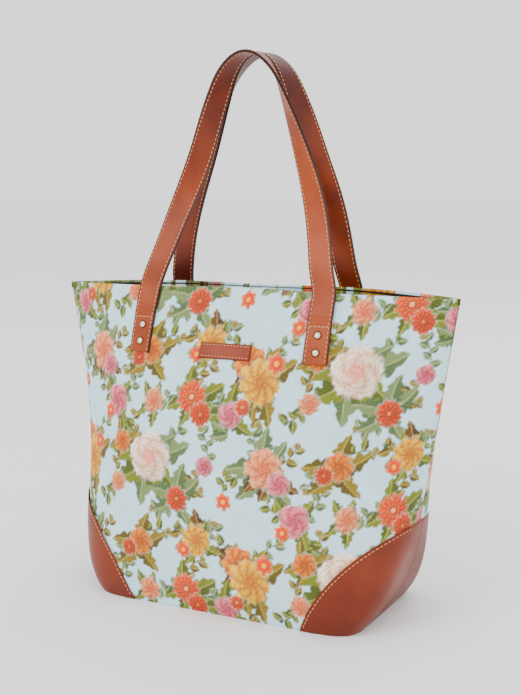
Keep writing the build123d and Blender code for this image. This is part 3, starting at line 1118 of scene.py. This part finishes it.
def cloth_dents(share, height, depth):
    """Soft dents of slack cloth, none at the seams, the rim and the base."""
    s = share * HALF_GIRTH
    dents = noise(s / 0.060 + 9, height / 0.085 + 4, 5)
    dents = dents + 0.5 * noise(s / 0.028 + 3, height / 0.050 + 8, 6)
    fade = (1 - np.abs(share) ** 6) * np.clip(height / 0.05, 0, 1)
    fade = fade * np.clip((0.292 - height) / 0.06, 0, 1)
    return np.maximum(depth * (dents + 0.25) * fade, -DEEPEST_DENT)


class TOTE_OT_panels(bpy.types.Operator):
    """Make the two printed panels with their rolled rim"""

    bl_idname = "tote.panels"
    bl_label = "Printed panels"

    def execute(self, context):
        slack = context.scene.tote_sizes.slack
        share, rows = np.meshgrid(np.linspace(-1, 1, PANEL_COLUMNS), np.linspace(0, 1, PANEL_ROWS))
        top = BAG_HEIGHT - CORNER_DIP * share**2
        height = rows * top
        seam = np.exp(-(((1 - np.abs(share)) * HALF_GIRTH / SEAM_WIDTH) ** 2))
        lift = cloth_dents(share, height, slack) - SEAM_DEPTH * seam
        body, normal = FORM.at(share, height, lift)
        body[..., 2] = np.maximum(body[..., 2], 0)
        rolled = [body[-1] + normal[-1] * out + np.array([0, 0, up]) for out, up in RIM_ROLL]
        foot = [body[0] - normal[0] * FOOT_INWARD + np.array([0, 0, FOOT_RISE])]
        points = np.concatenate([foot, body, rolled])

        def edged(table, past_rim):
            return np.concatenate([table[:1], table, np.repeat(past_rim, len(RIM_ROLL), axis=0)])

        s = share * FORM.girth_at(height)
        s = edged(s, s[-1:])
        t = edged(height, top[:1] + RIM_PRINT_RISE)
        near_seam = edged(seam, seam[-1:])
        cloth = made_once("Printed cotton canvas", printed_cloth)
        for side, shift in (("front", 0.0), ("back", BACK_PRINT_SHIFT)):
            piece = sheet_object(
                f"{side}_panel_cloth", points * mirror(side), cloth, printed(s + shift, t),
                {"shade": 1 - 0.4 * near_seam}, np.stack([s, t], axis=-1), flip=side == "back",
            )
            finish_piece(piece, "printed_cloth", f"{side}_panel")
        return {"FINISHED"}


def pad_edges(distance):
    """How far a sewn leather piece stands off the cloth, at distances from its edge."""
    rise = np.clip(distance / EDGE_ROLL, 0, 1)
    return EDGE_FOOT + (PATCH_LIFT - EDGE_FOOT) * np.sqrt(1 - (1 - rise) ** 2)


def stitch_groove(distance, inset, width):
    """How deep a row of stitches presses the leather in, at distances from its edge."""
    return GROOVE_DEPTH * np.exp(-(((distance - inset) / width) ** 2))


def patch_border():
    """The patch's curved edge as (distance from the middle, height), from its foot to its top."""
    start, middle, end = (np.array(p) for p in ((PATCH_FOOT, 0.0), PATCH_BULGE, PATCH_TOP))
    matrix = 2 * np.array([middle - start, end - start])
    centre = np.linalg.solve(matrix, [middle @ middle - start @ start, end @ end - start @ start])
    radius = np.linalg.norm(start - centre)
    angles = np.unwrap([np.arctan2(*(p - centre)[::-1]) for p in (start, middle, end)])
    sweep = np.linspace(angles[0], angles[-1], 80)
    return centre[0] + radius * np.cos(sweep), centre[1] + radius * np.sin(sweep)


class TOTE_OT_patches(bpy.types.Operator):
    """Make the leather corner patches with their stitches"""

    bl_idname = "tote.patches"
    bl_label = "Corner patches"

    def execute(self, context):
        border_x, border_z = patch_border()
        heights = np.linspace(0, PATCH_TOP[1], 90)
        starts = np.array([FORM.share_of(np.interp(z, border_z, border_x), z) for z in heights])
        step = np.linspace(0, 1, 70) ** 1.15
        share = starts[:, None] + (1 - starts[:, None]) * step[None]
        height = np.repeat(heights[:, None], len(step), axis=1)
        s, border_s = share * HALF_GIRTH, np.interp(border_z, heights, starts) * HALF_GIRTH
        gap = np.min(
            np.hypot(s[..., None] - border_s[::2], height[..., None] - border_z[::2]), axis=-1
        )
        groove = stitch_groove(gap, PATCH_STITCH_INSET, PATCH_GROOVE_WIDTH)
        lift = pad_edges(np.minimum(gap, PATCH_TOP[1] - height)) - groove
        points, _ = FORM.at(share, height, lift)
        points[..., 2] = np.maximum(points[..., 2], 0)
        edge = np.clip(1 - gap / EDGE_STAIN, 0, 1)
        tone = 0.35 + 0.25 * np.clip(1 - height / 0.05, 0, 1)
        for side in ("front", "back"):
            for hand, mirrored in (("right", 1.0), ("left", -1.0)):
                piece = sheet_object(
                    f"{side}_{hand}_patch_leather", points * mirror(side, mirrored),
                    sewn_leather("Patch leather"), None, {"edge": edge, "tone": tone},
                    np.stack([s, height], axis=-1), flip=(side == "back") != (hand == "left"),
                )
                finish_piece(piece, "patch_leather", f"{side}_{hand}_corner_patch")
        self.sew(context, border_s, border_z)
        return {"FINISHED"}

    def sew(self, context, border_s, border_z):
        """A row of stitches inside the curved edge of every patch."""
        sizes = context.scene.tote_sizes
        run = np.concatenate([[0], np.cumsum(np.hypot(np.diff(border_s), np.diff(border_z)))])
        count = int(run[-1] / sizes.stitch_pitch)
        at = (np.arange(count) + 0.5) * sizes.stitch_pitch
        s, z = np.interp(at, run, border_s), np.interp(at, run, border_z)
        ds = np.interp(at + STITCH_STEP, run, border_s) - s
        dz = np.interp(at + STITCH_STEP, run, border_z) - z
        size = np.hypot(ds, dz) + 1e-9
        s, z = s + dz / size * PATCH_STITCH_INSET, z - ds / size * PATCH_STITCH_INSET
        here, normal = FORM.at(s / HALF_GIRTH, z, PATCH_LIFT)
        there, _ = FORM.at((s + ds) / HALF_GIRTH, z + dz, PATCH_LIFT)
        keep = (z > 0.004) & (z < PATCH_TOP[1] - 0.003)
        spots = Spots()
        for mirrored in (1.0, -1.0):
            for side in ("front", "back"):
                spots.add(here[keep], normal[keep], (there - here)[keep], mirror(side, mirrored))
        shape = stitch_shape(sizes.stitch_length, STITCH_WIDTH, STITCH_HEIGHT)
        piece = repeated("patch_stitches", spots, shape, stitching_thread(context))
        finish_piece(piece, "patch_leather")


def crowded(outer, inner, ends, middle):
    """Places from -1 to 1 that lie closer together near both ends."""
    return np.concatenate([
        np.linspace(-1, -outer, ends), np.linspace(-inner, inner, middle), np.linspace(outer, 1, ends),
    ])


class TOTE_OT_label(bpy.types.Operator):
    """Make the bare leather label between the handles"""

    bl_idname = "tote.label"
    bl_label = "Label"

    def execute(self, context):
        sizes = context.scene.tote_sizes
        half_width, half_height = sizes.label_width / 2, sizes.label_depth / 2
        x, z = np.meshgrid(
            crowded(0.96, 0.95, 6, 50) * half_width, crowded(0.86, 0.8, 6, 20) * half_height
        )
        middle = FORM.share_of(0.0, LABEL_HEIGHT)
        unit = FORM.share_of(half_width, LABEL_HEIGHT) - middle
        gap = np.minimum(half_width - np.abs(x), half_height - np.abs(z))
        groove = stitch_groove(half_height - np.abs(z), LABEL_STITCH_INSET, LABEL_GROOVE_WIDTH)
        lift = pad_edges(gap) - groove
        points, _ = FORM.at(middle + x / half_width * unit, LABEL_HEIGHT + z, lift)
        edge = np.clip(1 - gap / EDGE_STAIN, 0, 1)
        piece = sheet_object(
            "label_leather", points, sewn_leather("Label leather"), None,
            {"edge": edge, "tone": LABEL_TONE}, np.stack([x, z], axis=-1),
        )
        finish_piece(piece, "label_leather", "label")
        at = np.arange(-half_width + 0.004, half_width - 0.003, LABEL_STITCH_PITCH)
        spots = Spots()
        for row in (-1, 1):
            height = LABEL_HEIGHT + row * (half_height - LABEL_STITCH_INSET)
            here, normal = FORM.at(middle + at / half_width * unit, height, PATCH_LIFT)
            there, _ = FORM.at(middle + (at + STITCH_STEP) / half_width * unit, height, PATCH_LIFT)
            spots.add(here, normal, there - here)
        shape = stitch_shape(0.0026, 0.0007, 0.0006)
        stitches = repeated("label_stitches", spots, shape, stitching_thread(context))
        finish_piece(stitches, "label_leather")
        return {"FINISHED"}


class TOTE_OT_handles(bpy.types.Operator):
    """Make the two leather handles with their stitches and rivets"""

    bl_idname = "tote.handles"
    bl_label = "Handles"

    def execute(self, context):
        sizes = context.scene.tote_sizes
        stitches, heads = Spots(), Spots()
        glued = STRAP_GLUE_GAP / 2
        outside = glued + STRAP_LEATHER
        for side, apex, climb in (("front", FRONT_APEX, FRONT_CLIMB), ("back", BACK_APEX, BACK_CLIMB)):
            strap = Strap(FORM, apex, climb)
            turn = mirror(side)
            shade = BACK_STRAP_SHADE if side == "back" else 0.0
            for name, near, far in (("face", -outside, -glued), ("backing", glued, outside)):
                points, edge, arch_shade, flat = strap.leather(near, far)
                # The tone carries painted shade: darker along the arch, and darker again on the back
                # handle, whose inner face is in shade.
                piece = sheet_object(
                    f"{side}_handle_{name}_leather", points * turn, sewn_leather("Strap leather"), None,
                    {"edge": edge, "tone": arch_shade + shade}, flat, flip=side == "back",
                )
                finish_piece(piece, "strap_leather", f"{side}_handle_{name}")
            at = np.arange(0.0035, strap.run[-1] - 0.003, sizes.stitch_pitch)
            middle, across, along, inward = strap.at_run(at)
            for x in (-1, 1):
                for depth in (-outside, outside):
                    place = middle + across * x * (STRAP_WIDTH / 2 - sizes.stitch_inset) + inward * depth
                    stitches.add(place, inward * np.sign(depth), along, turn)
            for end in (CROSS_ROW, strap.run[-1] - CROSS_ROW):
                x = np.linspace(-CROSS_ROW_HALF, CROSS_ROW_HALF, 5)
                middle, across, along, inward = strap.at_run(np.full(5, end))
                stitches.add(middle + across * x[:, None] - inward * outside, -inward, across, turn)
            for height in RIVET_HEIGHTS:
                point, normal = FORM.at(FORM.share_of(STRAP_LEG, height), height)
                lift = STRAP_SEAT_GAP + 2 * STRAP_LEATHER + STRAP_GLUE_GAP
                for mirrored in (1.0, -1.0):
                    flip = mirror(side, mirrored)
                    heads.add((point + normal * lift) * flip, normal * flip, (1.0, 0.0, 0.0))
        shape = stitch_shape(sizes.stitch_length, STITCH_WIDTH, STITCH_HEIGHT)
        piece = repeated("handle_stitches", stitches, shape, stitching_thread(context))
        finish_piece(piece, "strap_leather")
        dome = turned_shape("dome_shape", DOME_PROFILE, RIVET_SEGMENTS)
        domes = repeated("rivet_domes", heads, dome, brass())
        bronze = made_once("Rivet bronze", metal, tuple(linear("6A3C1C")), 0.40, 300.0)
        collar = turned_shape("collar_shape", COLLAR_PROFILE, RIVET_SEGMENTS)
        collars = repeated("rivet_collars", heads, collar, bronze)
        finish_piece(collars, "rivet_brass")
        places = ("left_upper", "left_lower", "right_upper", "right_lower")
        nodes = [f"{side}_rivet_head_{place}" for side in ("front", "back") for place in places]
        finish_piece(domes, "rivet_brass", *nodes)
        return {"FINISHED"}


class TOTE_OT_insides(bpy.types.Operator):
    """Finish the lining, the base and the metal parts inside"""

    bl_idname = "tote.insides"
    bl_label = "Lining and base"

    def execute(self, context):
        dark = tuple(context.scene.tote_colours.lining)
        deeper = tuple(0.6 * value for value in dark)
        lining = made_once("Lining cloth", plain_cloth, dark, deeper)
        ground = tuple(linear(GROUND))
        base = made_once("Base cloth", plain_cloth, ground, tuple(0.9 * value for value in ground))
        board = made_once("Base board", plain_cloth, (0.03, 0.028, 0.026), (0.02, 0.018, 0.017))
        steel = made_once("Snap steel", metal, (0.70, 0.66, 0.58), 0.28, 220.0)
        finishes = {
            "front_lining": lining, "back_lining": lining, "floor_lining": lining,
            "base_panel": base, "base_board": board, "snap_socket": steel, "snap_stud": steel,
        }
        for name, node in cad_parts.items():
            material = brass() if "rivet_back" in name else finishes.get(name)
            if material is None:
                continue
            for place in node.material_slots:
                place.link = "OBJECT"
                place.material = material
        return {"FINISHED"}


def area_light(name, place, aim, size, power):
    data = bpy.data.lights.new(name, "AREA")
    data.shape = "SQUARE"
    data.size = size
    data.energy = power
    light = bpy.data.objects.new(name, data)
    light.location = place
    light.rotation_euler = (Vector(aim) - Vector(place)).to_track_quat("-Z", "Y").to_euler()
    bpy.context.scene.collection.objects.link(light)


class TOTE_OT_stage(bpy.types.Operator):
    """Make the floor, the lights and the camera"""

    bl_idname = "tote.stage"
    bl_label = "Stage"

    def execute(self, context):
        colour = tuple(context.scene.tote_colours.floor)
        material, tree, shader = new_material("Pale floor", 0.8)
        paper = noise_node(tree, object_places(tree), 4.0)
        dull = tuple(0.985 * value for value in colour)
        coloured(tree, shader, stretched(tree, paper, 0.3, 0.7, 0.0, 1.0), colour, dull)
        mesh = bpy.data.meshes.new("floor")
        corners = [(x * FLOOR_REACH, y * FLOOR_REACH, 0) for x, y in ((-1, -1), (1, -1), (1, 1), (-1, 1))]
        mesh.from_pydata(corners, [], [(0, 1, 2, 3)])
        mesh.materials.append(material)
        floor = bpy.data.objects.new("floor", mesh)
        context.scene.collection.objects.link(floor)

        middle = (0, 0, BAG_HEIGHT * 0.6)
        for name, (place, size, power) in LIGHTS.items():
            area_light(name, place, middle, size, power)
        world = context.scene.world or bpy.data.worlds.new("Studio")
        context.scene.world = world
        world.use_nodes = True
        sky = world.node_tree.nodes["Background"]
        sky.inputs["Color"].default_value = (1.0, 1.0, 1.0, 1)
        sky.inputs["Strength"].default_value = SURROUNDINGS

        turn, tilt, roll = (np.radians(a) for a in (CAMERA_TURN, CAMERA_TILT, CAMERA_ROLL))
        back = np.array([np.sin(turn) * np.cos(tilt), -np.cos(turn) * np.cos(tilt), np.sin(tilt)])
        right = np.array([np.cos(turn), np.sin(turn), 0.0])
        up = np.cross(back, right)
        level_right = np.cos(roll) * right + np.sin(roll) * up
        level_up = -np.sin(roll) * right + np.cos(roll) * up
        data = bpy.data.cameras.new("camera")
        data.sensor_fit = "HORIZONTAL"
        data.sensor_width = CAMERA_SENSOR
        data.lens = CAMERA_LENS
        camera = bpy.data.objects.new("camera", data)
        turned = Matrix([level_right, level_up, back]).transposed()
        place = Vector(np.array(CAMERA_TARGET) + back * CAMERA_DISTANCE)
        camera.matrix_world = Matrix.Translation(place) @ turned.to_4x4()
        context.scene.collection.objects.link(camera)
        context.scene.camera = camera
        return {"FINISHED"}


OPERATORS = (
    TOTE_OT_stage, TOTE_OT_panels, TOTE_OT_patches, TOTE_OT_label, TOTE_OT_handles, TOTE_OT_insides,
)


class TOTE_PT_sidebar(bpy.types.Panel):
    """The tote bag's settings and steps"""

    bl_idname = "TOTE_PT_sidebar"
    bl_label = "Tote bag"
    bl_space_type = "VIEW_3D"
    bl_region_type = "UI"
    bl_category = "Tote"

    def draw(self, context):
        for settings in (context.scene.tote_sizes, context.scene.tote_colours):
            for name in settings.__annotations__:
                self.layout.prop(settings, name)
        for operator in OPERATORS:
            self.layout.operator(operator.bl_idname)


CLASSES = (ToteSizes, ToteColours, *OPERATORS, TOTE_PT_sidebar)


def register():
    for item in CLASSES:
        bpy.utils.register_class(item)
    bpy.types.Scene.tote_sizes = bpy.props.PointerProperty(type=ToteSizes)
    bpy.types.Scene.tote_colours = bpy.props.PointerProperty(type=ToteColours)


def unregister():
    del bpy.types.Scene.tote_colours
    del bpy.types.Scene.tote_sizes
    for item in reversed(CLASSES):
        bpy.utils.unregister_class(item)


def main():
    register()
    bpy.ops.tote.stage()
    bpy.ops.tote.panels()
    bpy.ops.tote.patches()
    bpy.ops.tote.label()
    bpy.ops.tote.handles()
    bpy.ops.tote.insides()


if __name__ == "__main__":
    main()
